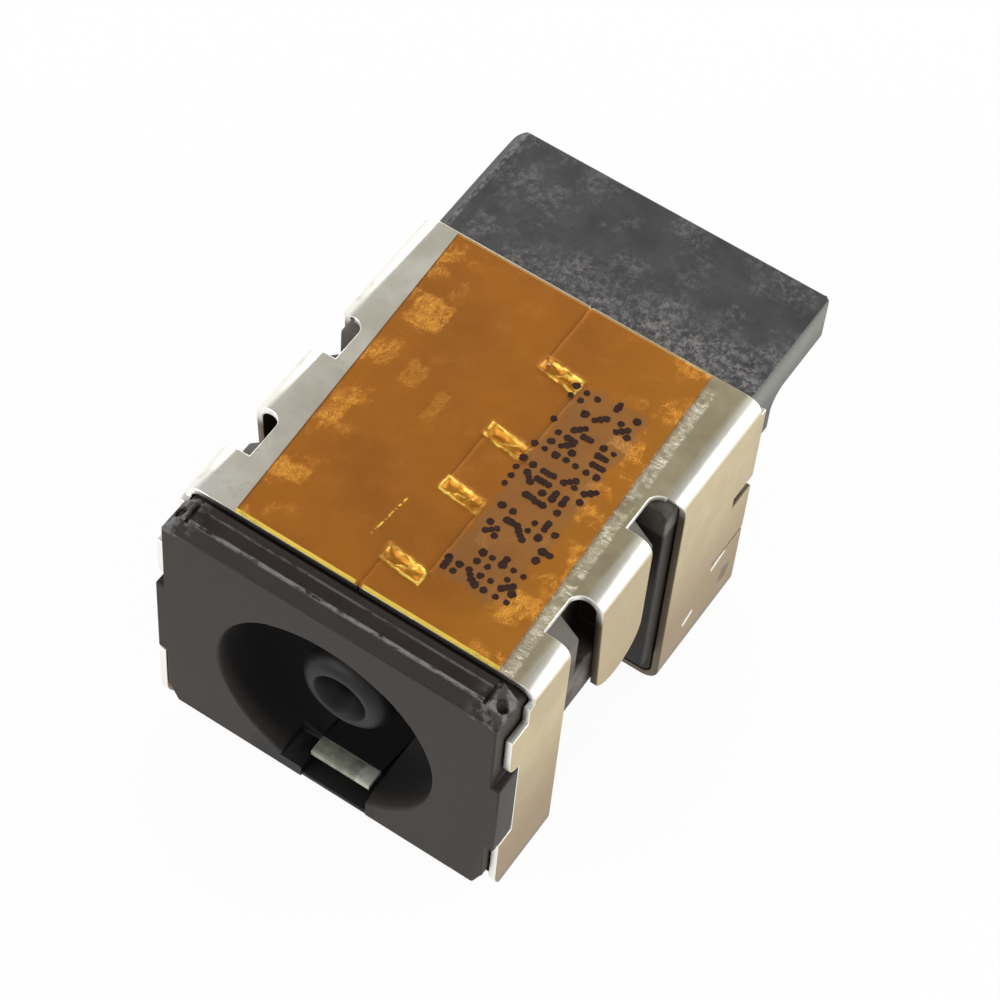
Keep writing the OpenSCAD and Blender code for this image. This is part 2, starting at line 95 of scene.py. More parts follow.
# the socket's mouth: its radius, how much wider its lead-in is at the face, how deep
# the closing pieces go, and the arc that closes the upper leaf's groove
BORE_R = 2.825
LEAD_IN = 0.15
LEAD_IN_DEPTH = 0.45
MOUTH_DEPTH = 0.86
RIM_TURN = math.radians(62)
RIM_WALL = 0.55

# the flange's underside in the solids, how far down it is taken, and the sill in it
FLANGE_LOW = 0.88
FLANGE_DROP = 0.28
SILL_WIDTH = 2.5
SILL_MIDDLE_Y = FACE_Y + 0.46
SILL_DROP = 0.12

# the finger between the slots, from the shell's front edge
FINGER_START = 2.75
FINGER_END = 4.85

# the seam's two dovetails, and the relief windows beside them
SEAM_FIRST = SHELL_FRONT + 1.05
SEAM_LEN = 2.2
SEAM_PITCH = 4.05
SEAM_REACH = 1.05
WINDOW_HALF = 0.19
WINDOW_OUT = 0.03
WINDOW_LEAN = 0.12

# ---- Camera ---------------------------------------------------------------

CAMERA_LENS = 121.5
CAMERA_PLACE = Vector((0.021533, -0.038825, 0.070297))
CAMERA_RIGHT = Vector((0.83024, 0.5546, 0.05593))
CAMERA_UP = Vector((-0.48771, 0.67416, 0.55466))
CAMERA_BACK = Vector((0.26991, -0.48778, 0.83019))


def set_camera():
    """A long lens that looks down on the jack from its front right."""
    lens = bpy.data.cameras.new("studio_camera")
    lens.lens = CAMERA_LENS
    lens.sensor_width = 36
    lens.clip_start = 0.002
    lens.clip_end = 5
    camera = bpy.data.objects.new("studio_camera", lens)
    axes = Matrix((CAMERA_RIGHT, CAMERA_UP, CAMERA_BACK)).transposed().to_4x4()
    camera.matrix_world = Matrix.Translation(CAMERA_PLACE) @ axes
    bpy.context.scene.collection.objects.link(camera)
    bpy.context.scene.camera = camera


# ---- Finishes -------------------------------------------------------------

AMBER_DARK = (0.37, 0.130, 0.017)
AMBER = (0.44, 0.155, 0.018)
AMBER_REFLECTION = (0.56, 0.225, 0.024)
AMBER_GLUE = (0.70, 0.33, 0.04)
AMBER_WINDOW = (0.66, 0.30, 0.03)
AMBER_BRIGHT = (1.0, 0.70, 0.13)
AMBER_FRONT_HIGHLIGHT = (1.0, 0.74, 0.12)
AMBER_SHADE = (0.14, 0.055, 0.018)
AMBER_REAR = (0.62, 0.45, 0.2)
PRINT_GROUND = (0.30, 0.155, 0.065)

# patches of loose glue on the tape: x, distance from its front, half sizes, strength
GLUE_PATCHES = [
    (-2.95, 1.6, 0.45, 0.30, 0.75),
    (-3.1, 3.6, 0.3, 0.5, 0.5),
    (-2.2, 5.4, 0.3, 0.4, 0.35),
    (-1.3, 4.9, 0.2, 0.5, 0.3),
    (-2.9, 7.0, 0.5, 0.5, 0.7),
    (2.7, 6.5, 0.35, 0.22, 0.9),
    (3.1, 1.5, 0.35, 0.5, 0.5),
    (1.6, 2.6, 0.25, 0.3, 0.3),
]


class Wire:
    """A value in a tree of nodes. Arithmetic on it adds Math nodes to the tree."""

    def __init__(self, graph, socket):
        self.graph = graph
        self.socket = socket

    def maths(self, operation, *values, clamped=False):
        """One Math node on these values."""
        settings = {"operation": operation, "use_clamp": clamped}
        return self.graph.add("ShaderNodeMath", settings, dict(enumerate(values)))

    def __add__(self, other):
        return self.maths("ADD", self, other)

    __radd__ = __add__

    def __sub__(self, other):
        return self.maths("SUBTRACT", self, other)

    def __rsub__(self, other):
        return self.maths("SUBTRACT", other, self)

    def __mul__(self, other):
        return self.maths("MULTIPLY", self, other)

    __rmul__ = __mul__

    def __pow__(self, other):
        return self.maths("POWER", self, other)

    def __neg__(self):
        return 0 - self

    def size(self):
        """The value without its sign."""
        return self.maths("ABSOLUTE", self)

    def greater(self, other):
        """The greater of two values."""
        return self.maths("MAXIMUM", self, other)

    def held(self):
        """The value, kept between 0 and 1."""
        return self.maths("ADD", self, 0.0, clamped=True)

    def rise(self, start, end):
        """0 up to start and 1 from end on, with a smooth climb between them."""
        settings = {"interpolation_type": "SMOOTHSTEP"}
        span = {"Value": self, "From Min": start, "From Max": end}
        return self.graph.add("ShaderNodeMapRange", settings, span)

    def fall(self, start, end):
        """1 up to start and 0 from end on."""
        return 1 - self.rise(start, end)

    def within(self, low, high, soft):
        """1 between low and high, fading to 0 over soft on both sides."""
        return self.rise(low - soft, low) * self.fall(high, high + soft)


class Graph:
    """A tree of shader nodes, built up by calls."""

    def __init__(self, owner):
        owner.use_nodes = True
        self.tree = owner.node_tree

    def add(self, kind, settings=None, inputs=None, output=0):
        """A node with its settings and the values or links of its sockets."""
        node = self.tree.nodes.new(kind)
        for name, value in (settings or {}).items():
            if name == "stops":
                self.set_stops(node.color_ramp, value)
            else:
                setattr(node, name, value)
        for name, value in (inputs or {}).items():
            if isinstance(value, Wire):
                self.tree.links.new(value.socket, node.inputs[name])
            else:
                node.inputs[name].default_value = value
        return Wire(self, node.outputs[output]) if node.outputs else None

    @staticmethod
    def set_stops(ramp, stops):
        """Gives a colour ramp its stops, as (position, colour)."""
        while len(ramp.elements) < len(stops):
            ramp.elements.new(1)
        for element, (position, colour) in zip(ramp.elements, stops):
            element.position = position
            element.color = (*colour, 1)

    def parts(self, vector):
        """The three numbers of a vector."""
        split = self.add("ShaderNodeSeparateXYZ", {}, {"Vector": vector})
        outputs = split.socket.node.outputs
        return [Wire(self, outputs[axis]) for axis in "XYZ"]


class Finish(Graph):
    """A material on the principled shader, with its pattern in row millimetres."""

    def __init__(self, name, **constants):
        self.material = bpy.data.materials.new(name)
        super().__init__(self.material)
        self.shader = self.tree.nodes["Principled BSDF"]
        for socket, value in constants.items():
            self.shader.inputs[socket.replace("_", " ")].default_value = value
        place = self.add("ShaderNodeTexCoord", output="Object")
        self.place = self.add(
            "ShaderNodeMapping", {}, {"Vector": place, "Scale": (1 / MM,) * 3}
        )
        self.x, self.y, self.z = self.parts(self.place)
        self.behind_face = self.y - FACE_Y
        self.back = self.y - SHELL_FRONT

    def blend(self, share, first, second):
        """Colour first, turned into second by the share."""
        colours = {0: share, 6: self.opaque(first), 7: self.opaque(second)}
        settings = {"data_type": "RGBA", "blend_type": "MIX"}
        return self.add("ShaderNodeMix", settings, colours, output=2)

    @staticmethod
    def opaque(colour):
        """A colour as a socket takes it."""
        return colour if isinstance(colour, Wire) else (*colour, 1)

    def stretched(self, scale):
        """The place on the piece; patterns are drawn out along axes scaled under 1."""
        return self.add("ShaderNodeMapping", {}, {"Vector": self.place, "Scale": scale})

    def grain(self, size, detail=2.0, roughness=0.5, place=None, warp=0.0):
        """Noise from 0 to 1 whose patches are about size millimetres across."""
        inputs = {
            "Vector": place or self.place,
            "Scale": 1 / size,
            "Detail": detail,
            "Roughness": roughness,
            "Distortion": warp,
        }
        return self.add("ShaderNodeTexNoise", {}, inputs)

    def off_axis(self):
        """Distance from the socket's axis."""
        up = self.z - AXIS_Z
        return (self.x * self.x + up * up) ** 0.5

    def line(self, start, end, width, across="xy"):
        """1 on the stretch from start to end, fading out over width at its sides."""
        flat = {"x": self.x, "y": self.y, "z": self.z}
        u, v = flat[across[0]], flat[across[1]]
        length = math.dist(start, end)
        along = ((end[0] - start[0]) / length, (end[1] - start[1]) / length)
        run = (u - start[0]) * along[0] + (v - start[1]) * along[1]
        off = (u - start[0]) * along[1] - (v - start[1]) * along[0]
        return off.size().fall(width * 0.4, width) * run.within(0, length, width)

    def send(self, socket, wire):
        """Links a value to one of the shader's sockets."""
        self.tree.links.new(wire.socket, self.shader.inputs[socket])

    def bump(self, height):
        """Sends a height in millimetres to the shader as a bump."""
        inputs = {"Height": height, "Distance": MM, "Strength": 1.0}
        self.send("Normal", self.add("ShaderNodeBump", {}, inputs))

    def across_tape(self):
        """Distance across the tape from its middle line."""
        along = self.y - TAPE_MIDDLE_Y
        return self.x * math.cos(TAPE_SKEW) + along * math.sin(TAPE_SKEW)


def shell_plate():
    """Plated sheet: satin, slightly uneven, with painted light: its sides painted creamier
    than its top and shaded to their foot, and painted highlights on its folds and cut edges.
    """
    f = Finish("shell_plate", Metallic=1.0)
    cloud = f.grain(1.6, 3, 0.6)
    mottle = f.grain(0.35, 3, 0.6)
    drawn = f.grain(0.09, 2, 0.5, f.stretched((1, 0.12, 1)))
    top = f.z.rise(SHELL_TOP - 0.06, SHELL_TOP - 0.02)
    # the side walls are painted with shade that darkens them to the foot, the finger between
    # the slots is painted darker as shade, and their folds at the top carry a painted
    # highlight
    low = f.z.fall(1.2, 6.5)
    foot = f.z.fall(0.1, 1.1)
    side = f.blend(cloud.rise(0.35, 0.65), (0.58, 0.46, 0.225), (0.50, 0.39, 0.185))
    side = f.blend(low, side, (0.33, 0.23, 0.115))
    side = f.blend(foot * 0.8, side, (0.19, 0.175, 0.15))
    finger = f.back.within(FINGER_START, FINGER_END, 0.1)
    side = f.blend(finger * 0.7, side, (0.44, 0.33, 0.145))
    fold_side_highlight = f.z.rise(SHELL_TOP - 0.42, SHELL_TOP - 0.2)
    side = f.blend(fold_side_highlight * 0.95, side, (0.97, 0.95, 0.88))
    # the top is painted paler on the left than on the right as light, with painted highlights
    # at its folds and at its front left corner
    light = f.blend(cloud.rise(0.3, 0.7), (0.70, 0.66, 0.55), (0.90, 0.86, 0.75))
    right_top_shade = f.blend(cloud.rise(0.3, 0.7), (0.48, 0.41, 0.26), (0.66, 0.58, 0.39))
    flat = f.blend(f.x.rise(-3, 3), light, right_top_shade)
    fold_highlight = f.x.size().rise(SHELL_HALF - 0.55, SHELL_HALF - 0.3)
    flat = f.blend(fold_highlight * 0.8, flat, (0.96, 0.94, 0.86))
    corner = f.x.fall(-4.4, -3.4) * f.back.fall(0.2, 1.2)
    flat = f.blend(corner * 0.7, flat, (0.98, 0.97, 0.94))
    tint = f.blend(top, side, flat)
    stain = mottle.rise(0.52, 0.75) * cloud.rise(0.4, 0.6)
    tint = f.blend(stain * 0.35, tint, (0.42, 0.37, 0.27))
    # a strip of clear glue and film stands out beside the tape, its crinkles painted pale as
    # highlights
    across = f.across_tape()
    glue = across.within(TAPE_HALF - 0.1, TAPE_HALF + 0.3, 0.1)
    glue = glue * f.y.fall(SHELL_BACK - 0.7, SHELL_BACK - 0.3) * top
    glue = glue * f.grain(0.5, 2, 0.5).rise(0.3, 0.5)
    crinkle = f.grain(0.16, 4, 0.75, f.stretched((0.5, 1.2, 1)), warp=1.5)
    tint = f.blend(glue * 0.35, tint, (0.36, 0.34, 0.26))
    tint = f.blend(glue * crinkle.rise(0.45, 0.68) * 0.8, tint, (0.90, 0.88, 0.78))
    # painted shade in a dented spot and painted highlights on two nicked places, on the rear
    # band's right side
    outer = f.x.rise(SHELL_HALF - 0.1, SHELL_HALF - 0.02)
    ragged = 0.5 + mottle
    dent_shade = f.line((SHELL_FRONT + 8.95, 1.25), (SHELL_FRONT + 9.05, 1.5), 0.3, "yz") * outer
    dent_shade = (dent_shade * ragged).rise(0.35, 0.8)
    tint = f.blend(dent_shade * 0.75, tint, (0.12, 0.09, 0.06))
    nick_highlights = f.line((SHELL_FRONT + 7.2, 1.35), (SHELL_FRONT + 7.5, 1.47), 0.16, "yz")
    nick_highlights = nick_highlights + f.line((SHELL_FRONT + 8.3, 2.42), (SHELL_FRONT + 8.8, 2.55), 0.14, "yz")
    nick_highlights = (nick_highlights * ragged).rise(0.3, 0.9) * outer
    tint = f.blend(nick_highlights * 0.75, tint, (0.98, 0.96, 0.9))
    # the cut edges are painted as highlights on top and at the front, and painted dark as
    # shade down the sides
    cut = f.add("ShaderNodeAttribute", {"attribute_name": "cut_edge"}, output="Fac")
    cut_highlight = f.z.rise(SHELL_TOP - 0.9, SHELL_TOP - 0.4).greater(f.back.fall(0, 0.1))
    edge = f.blend(cut_highlight, (0.16, 0.13, 0.10), (0.97, 0.96, 0.92))
    f.send("Base Color", f.blend(cut * 0.9, tint, edge))
    rough = 0.24 + 0.12 * mottle + 0.06 * drawn + 0.1 * low + 0.12 * glue + 0.15 * cut
    f.send("Roughness", rough)
    wave = f.grain(2.4, 1, 0.5) * 0.02 + cloud * 0.006
    pits = mottle * 0.0015 + drawn * 0.0006
    f.bump(wave + pits - 0.02 * dent_shade + 0.03 * glue * crinkle)
    return f


def black_moulding():
    """Moulded black plastic: satin brownish face, a bore painted near black as shade, painted
    light and shade on the shoulders, and a scuffed lip with painted shade and highlights.
    """
    f = Finish("black_moulding", Specular_IOR_Level=0.2)
    cloud = f.grain(1.3, 3, 0.6)
    fine = f.grain(0.12, 3, 0.65)
    tint = f.blend(cloud.rise(0.3, 0.7), (0.0215, 0.0158, 0.0128), (0.0295, 0.0225, 0.0185))
    tint = f.blend(fine.rise(0.6, 0.8) * 0.25, tint, (0.06, 0.052, 0.046))
    # little light comes back out of the bore and of the leaf's pocket
    off_axis = f.off_axis()
    lead_in = off_axis.fall(BORE_R + 0.16, BORE_R + 0.2) * f.behind_face.rise(0.03, 0.1)
    tint = f.blend(lead_in * 0.6, tint, (0.012, 0.0105, 0.0095))
    bore = off_axis.fall(BORE_R + 0.02, BORE_R + 0.05)
    bore = bore * f.behind_face.rise(0.3, LEAD_IN_DEPTH)
    pocket = f.x.size().fall(1.16, 1.2) * f.z.fall(1.9, 2.2) * f.behind_face.rise(0.01, 0.03)
    deep = f.behind_face.rise(0.8, 3.5)
    hollow = f.blend(deep, (0.013, 0.0128, 0.0135), (0.07, 0.068, 0.07))
    tint = f.blend(bore.greater(pocket) * 0.95, tint, hollow)
    # the face below the bore's opening is painted near black as well, as shade
    mouth_shade = f.x.within(-1.9, 1.35, 0.25) * f.z.fall(1.0, 1.5) * f.back.fall(-0.2, 0)
    tint = f.blend(mouth_shade * 0.85, tint, (0.012, 0.0115, 0.0115))
    # the shoulders: painted shade in the second slot, and painted light on their bevelled
    # edges and in the first slot
    outside = f.x.size().rise(3.0, 3.2) * f.back.rise(0.2, 0.3)
    bevel_light = outside * f.z.rise(6.75, 6.95) * cloud.rise(0.25, 0.5)
    shaded = outside * f.x.rise(3, 3.2) * f.back.rise(4.5, 4.8) * f.z.fall(6.4, 6.9)
    tint = f.blend(shaded * 0.8, tint, (0.016, 0.0125, 0.009))
    tint = f.blend(bevel_light * 0.8, tint, (0.13, 0.118, 0.10))
    # painted light in mottled patches on the first slot's wall
    dust_and_light = off_axis.rise(BORE_R + 0.3, BORE_R + 0.4) * f.back.within(1.5, 2.6, 0.5)
    dust_and_light = dust_and_light * f.z.rise(4.0, 5.2) * (1 - bevel_light) * f.grain(0.8, 3, 0.6).rise(0.3, 0.6)
    tint = f.blend(dust_and_light * f.x.rise(2.0, 2.6) * 0.6, tint, (0.16, 0.135, 0.11))
    # the lip: painted shade on its front chamfer, a broken pale line along its edges that is
    # partly rubbed wear and partly painted highlight, and scuffed corners
    lip = f.z.rise(LIP_TOP - 0.5, LIP_TOP - 0.4)
    bevel = lip * f.behind_face.fall(0.26, 0.3) * f.behind_face.rise(0.01, 0.03)
    tint = f.blend(bevel * 0.8, tint, (0.012, 0.010, 0.009))
    broken = f.grain(0.3, 4, 0.8, f.stretched((0.35, 1, 1)))
    front = f.behind_face.within(0.27, 0.33, 0.04)
    rear = f.behind_face.within(0.68, 0.71, 0.03)
    rub_and_highlight = (front + rear * 0.4) * f.z.rise(LIP_TOP - 0.06, LIP_TOP) * broken.rise(0.40, 0.56)
    tint = f.blend(rub_and_highlight * 0.8, tint, (0.26, 0.25, 0.245))
    scuffs = lip * f.x.size().rise(3.5, 4.1) * f.grain(0.3, 3, 0.6).rise(0.42, 0.6)
    f.send("Base Color", f.blend(scuffs * 0.5, tint, (0.19, 0.185, 0.18)))
    f.send("Roughness", 0.45 + 0.18 * cloud - 0.08 * fine + 0.3 * bore - 0.15 * scuffs)
    f.bump(fine * 0.004 + f.grain(0.04, 2, 0.5) * 0.0012 + broken * rub_and_highlight * 0.02)
    return f


def dusty_moulding():
    """The terminal block's roof: dark, lightly scratched, dusty on top, with painted light on
    its right side and its left edge.
    """
    f = Finish("dusty_moulding", Specular_IOR_Level=0.4)
    cloud = f.grain(1.1, 4, 0.62)
    speck = f.grain(0.14, 4, 0.75)
    tint = f.blend(cloud.rise(0.3, 0.7), (0.034, 0.034, 0.036), (0.058, 0.058, 0.060))
    near_shell = f.y.fall(SHELL_BACK, SHELL_BACK + 1.9) * f.x.rise(-4.5, 1.5)
    patch = f.grain(0.9, 3, 0.65).rise(0.45, 0.68)
    dust_and_light = (near_shell * 0.9 + patch * 0.6) * speck.rise(0.4, 0.66)
    dust_and_light = dust_and_light.held() * f.z.rise(ROOF_Z - 0.3, ROOF_Z - 0.05)
    tint = f.blend(dust_and_light * 0.85, tint, (0.24, 0.225, 0.22))
    # the roof's right side is painted lighter than its top as light, most up high, and its
    # left edge has a broken pale strip that is partly scuffing and partly painted highlight
    right = f.x.rise(ROOF_HALF - 0.12, ROOF_HALF - 0.08) * f.z.rise(ROOF_Z - 1.6, ROOF_Z - 1.2)
    high = f.z.rise(ROOF_Z - 1.2, ROOF_Z - 0.5)
    wear_and_light = f.blend(high, (0.085, 0.085, 0.075), (0.14, 0.143, 0.125))
    tint = f.blend(right, tint, wear_and_light)
    left_edge = (-f.x).within(ROOF_HALF - 0.4, ROOF_HALF - 0.22, 0.05)
    scuff_and_highlight = left_edge * f.z.rise(ROOF_Z - 0.1, ROOF_Z) * speck.rise(0.42, 0.6)
    f.send("Base Color", f.blend(scuff_and_highlight * 0.7, tint, (0.24, 0.24, 0.235)))
    f.send("Roughness", 0.42 + 0.16 * cloud + 0.3 * dust_and_light)
    f.bump(speck * 0.006 + cloud * 0.008 + f.grain(0.05, 2, 0.5) * 0.0015)
    return f


def grey_post():
    """The post's smoother, slightly greyer plastic, with the funnel at its tip painted near
    black as shade.
    """
    f = Finish("grey_post", Specular_IOR_Level=0.25)
    cloud = f.grain(0.7, 2, 0.5)
    tint = f.blend(cloud.rise(0.35, 0.65), (0.0088, 0.0080, 0.0084), (0.012, 0.0108, 0.0112))
    shaft = f.y.rise(post_low[1] + 0.3, post_low[1] + 1.0)
    tint = f.blend(shaft * 0.8, tint, (0.010, 0.010, 0.010))
    # the funnel at the tip is painted near black as shade
    mouth = f.off_axis().fall(0.5, 0.75)
    f.send("Base Color", f.blend(mouth * 0.85, tint, (0.004, 0.0032, 0.0032)))
    f.send("Roughness", 0.4 + 0.12 * cloud)
    f.bump(f.grain(0.08, 2, 0.5) * 0.002)
    return f


def gold_plate():
    """Gold-plated spring strip with drawing marks along it."""
    f = Finish("gold_strip", Metallic=1.0)
    drawn = f.grain(0.06, 2, 0.5, f.stretched((1, 0.08, 1)))
    cloud = f.grain(0.5, 2, 0.6)
    f.send("Base Color", f.blend(cloud.rise(0.3, 0.7), (0.72, 0.52, 0.22), (0.82, 0.62, 0.30)))
    f.send("Roughness", 0.24 + 0.14 * cloud + 0.08 * drawn)
    f.bump(drawn * 0.0012 + cloud * 0.004)
    return f


def leaf_plate():
    """Tin plate, rubbed matte where the plug slides, and painted near black as shade down in
    the bore.
    """
    f = Finish("leaf_plate")
    drawn = f.grain(0.06, 2, 0.5, f.stretched((1, 0.08, 1)))
    cloud = f.grain(0.3, 3, 0.6)
    tail = f.blend(cloud.rise(0.3, 0.7), (0.66, 0.67, 0.58), (0.76, 0.77, 0.68))
    crest = f.behind_face.fall(0.72, 0.8)
    # deeper in the bore the leaf is painted near black and made less metallic, as shade
    deep = f.behind_face.within(0.8, 9.3, 0.05)
    tint = f.blend(deep, tail, (0.022, 0.0215, 0.022))
    wear_and_light = f.blend(cloud.rise(0.35, 0.65), (0.19, 0.195, 0.155), (0.31, 0.31, 0.25))
    tint = f.blend(crest, tint, wear_and_light)
    ends = crest * f.x.size().rise(0.68, 0.78) * cloud.rise(0.3, 0.5)
    f.send("Base Color", f.blend(ends * 0.6, tint, (0.62, 0.63, 0.56)))
    f.send("Metallic", 1 - 0.8 * crest - 0.9 * deep)
    f.send("Roughness", 0.26 + 0.14 * cloud + 0.08 * drawn + 0.2 * crest)
    f.bump(drawn * 0.0012 + cloud * 0.004)
    return f


def film_seam(f):
    """The shell's seam, as it shows through the film."""
    width = 0.03
    seam = f.line((0, SHELL_FRONT), (0, SEAM_FIRST), width)
    for i in range(2):
        start = SEAM_FIRST + i * SEAM_PITCH
        end = start + SEAM_LEN
        next_start = min(end + SEAM_PITCH - SEAM_LEN, SHELL_BACK)
        seam = seam + f.line((SEAM_REACH, start), (SEAM_REACH, end), width)
        seam = seam + f.line((0, end), (0, next_start), width)
    return seam


def film_glue(f, across, wander, wrinkle):
    """Loose glue under the film, mostly along both long edges."""
    edge = across.size().rise(TAPE_HALF - 1.3, TAPE_HALF - 0.2)
    loose = (edge + 0.15) * f.grain(0.8, 3, 0.6).rise(0.46, 0.66) * wrinkle.rise(0.4, 0.68)
    for x, y, half_x, half_y, strength in GLUE_PATCHES:
        near_x = (f.x - x + wander * 0.3).size().fall(half_x - 0.1, half_x)
        near_y = (f.back - y + wander * 0.3).size().fall(half_y - 0.1, half_y)
        loose = loose + near_x * near_y * (0.2 + wrinkle.rise(0.38, 0.66)) * strength
    return loose.held()


def film_windows(f, tint, wander, hair):
    """The film over the relief windows: paler, more so toward the lit end, with a painted
    highlight on its rim and along a crease across.
    """
    for x, y, end in WINDOWS:
        off_x = (f.x - x + wander * 0.12).size() - SEAM_REACH / 2
        off_y = (f.y - y + WINDOW_LEAN * (f.x - x) + wander * 0.14).size() - WINDOW_HALF
        gap = off_x.greater(off_y)
        lit = ((f.x - x) * end + wander).rise(-0.5, 0.3)
        tint = f.blend(gap.fall(-0.05, 0.02) * (0.3 + 0.5 * lit), tint, AMBER_WINDOW)
        rim = gap.size().fall(0.015, 0.045) * (0.25 + 0.75 * lit) * hair.rise(0.34, 0.46)
        fold_highlight = (f.y - y - 0.45 * (f.x - x) + wander * 0.3).size().fall(0.01, 0.04)
        fold_highlight = fold_highlight * gap.fall(-0.1, 0) * hair.rise(0.4, 0.5)
        tint = f.blend((rim + fold_highlight * 0.8).held(), tint, AMBER_BRIGHT)
    return tint


def amber_film():
    """Amber film over metal: brown, mottled by its glue, crinkled over the seam's openings."""
    f = Finish(
        "amber_film",
        Metallic=0.7, Coat_Weight=0.06, Coat_Roughness=0.25, Specular_IOR_Level=0.2,
    )
    cloud = f.grain(2.2, 2, 0.5)
    crease = f.grain(0.22, 4, 0.7, warp=1.2)
    wander = f.grain(0.3, 3, 0.6) - 0.5
    wrinkle = f.grain(0.16, 5, 0.8, f.stretched((1, 0.6, 1)), warp=0.8)
    hair = f.grain(0.5, 3, 0.6)
    across = f.across_tape()
    tint = f.blend(cloud.rise(0.3, 0.7), AMBER_DARK, AMBER)
    # right of the seam the film is painted brighter, as a reflection
    tint = f.blend(across.rise(0.9, 3.4) * 0.5, tint, AMBER_REFLECTION)
    loose = film_glue(f, across, wander, wrinkle)
    tint = f.blend(loose * 0.75, tint, AMBER_GLUE)
    tint = f.blend((film_seam(f) * 0.45).held(), tint, AMBER_SHADE)
    tint = film_windows(f, tint, wander, hair)
    # a dull ground under the print, a scratch and dark specks
    ground = (f.x + wander * 0.6).within(1.25, 2.75, 0.25)
    ground = ground * (f.back + wander).within(1.5, 7.3, 0.3)
    tint = f.blend(ground * (0.2 + 0.6 * hair), tint, PRINT_GROUND)
    scratch = f.line((-0.53, SHELL_FRONT + 1.3), (-0.42, SHELL_FRONT + 2.5), 0.035)
    scratch = scratch * f.grain(0.09, 2, 0.5).rise(0.45, 0.6)
    tint = f.blend(scratch, tint, AMBER_BRIGHT)
    tint = f.blend(f.grain(0.1, 2, 0.5).rise(0.72, 0.78) * 0.6, tint, AMBER_SHADE)
    # its edges: dark on the left, a painted highlight along the front, pale at the rear
    left = across.fall(-TAPE_HALF + 0.02, -TAPE_HALF + 0.06)
    tint = f.blend(left * 0.7, tint, AMBER_SHADE)
    slant = f.back.fall(0.07, 0.1) * f.x.size().rise(0.06, 0.12)
    tint = f.blend(slant, tint, AMBER_FRONT_HIGHLIGHT)
    rear = f.y.rise(tape_high[1] - 0.07, tape_high[1] - 0.03)
    f.send("Base Color", f.blend(rear * 0.6, tint, AMBER_REAR))
    f.send("Roughness", 0.38 + 0.1 * cloud + 0.1 * crease - 0.1 * loose)
    fine = f.grain(0.05, 2, 0.6)
    f.bump(loose * crease * 0.03 + crease * 0.004 + fine * 0.001 + cloud * 0.02)
    return f


def black_ink():
    """Brownish black ink, a little uneven."""
    f = Finish("black_ink", Specular_IOR_Level=0.12)
    cloud = f.grain(0.2, 2, 0.5)
    f.send("Base Color", f.blend(cloud, (0.022, 0.008, 0.006), (0.055, 0.026, 0.018)))
    f.send("Roughness", 0.45 + 0.2 * cloud)
    return f


# ---- Pieces ---------------------------------------------------------------


def only(piece):
    """Selects this piece and nothing else."""
    for other in bpy.context.selected_objects:
        other.select_set(False)
    piece.select_set(True)
    bpy.context.view_layer.objects.active = piece


def side_by_side(one, other, room):
    """Whether two edges that don't meet run beside each other, nearer than room."""
    if set(one.verts) & set(other.verts):
        return False
    for edge, beside in ((one, other), (other, one)):
        start, end = (v.co for v in beside.verts)
        way = (end - start).normalized()
        for vertex in edge.verts:
            share = (vertex.co - start).dot(way) / (end - start).length
            gap = vertex.co - start.lerp(end, min(max(share, 0), 1))
            if gap.length < room and abs(gap.dot(way)) < 0.5 * gap.length:
                return True
    return False


def breakable_edges(shape, sharp, closest, room):
    """Sharp edges, without crowded ones and those that meet at a needle-thin angle."""
    picked = {
        e for e in shape.edges
        if len(e.link_faces) == 2 and e.calc_face_angle(0) > math.radians(sharp)
    }
    thin = set()
    for vertex in shape.verts:
        ways = [
            (e, (e.other_vert(vertex).co - vertex.co).normalized())
            for e in vertex.link_edges if e in picked
        ]
        for i, (one, way) in enumerate(ways):
            for other, other_way in ways[:i]:
                if way.angle(other_way) < math.radians(closest):
                    thin.add(min((one, other), key=lambda e: e.calc_length()))
    for face in shape.faces:
        edges = [e for e in face.edges if e in picked]
        for i, one in enumerate(edges):
            for other in edges[:i]:
                if side_by_side(one, other, room):
                    thin |= {one, other}
    return picked - thin


def carry_over(node, name, finish, edge=0.03, sharp=35.0, room=0.0):
    """A copy of a CAD node with its cut edges broken, in place of the node."""
    piece = bpy.data.objects.new(name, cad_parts[node].data.copy())
    piece.data.name = name
    bpy.context.scene.collection.objects.link(piece)
    only(piece)
    bpy.ops.object.mode_set(mode="EDIT")
    bpy.ops.mesh.select_mode(type="EDGE")
    bpy.ops.mesh.select_all(action="SELECT")
    bpy.ops.mesh.remove_doubles(threshold=2e-7)
    bpy.ops.mesh.dissolve_limited(angle_limit=math.radians(0.6))
    bpy.ops.mesh.select_all(action="DESELECT")
    shape = bmesh.from_edit_mesh(piece.data)
    for picked in breakable_edges(shape, sharp, 25, room * MM):
        picked.select = True
    shape.select_flush_mode()
    bmesh.update_edit_mesh(piece.data)
    bpy.ops.mesh.bevel(offset=edge * MM, segments=2, affect="EDGES", clamp_overlap=False)
    bpy.ops.object.mode_set(mode="OBJECT")
    bpy.ops.object.shade_smooth_by_angle(angle=math.radians(sharp))
    even = piece.modifiers.new("even_flats", "WEIGHTED_NORMAL")
    even.keep_sharp = True
    bpy.ops.object.modifier_apply(modifier=even.name)
    dress(piece, finish)
    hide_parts(node)
    return piece


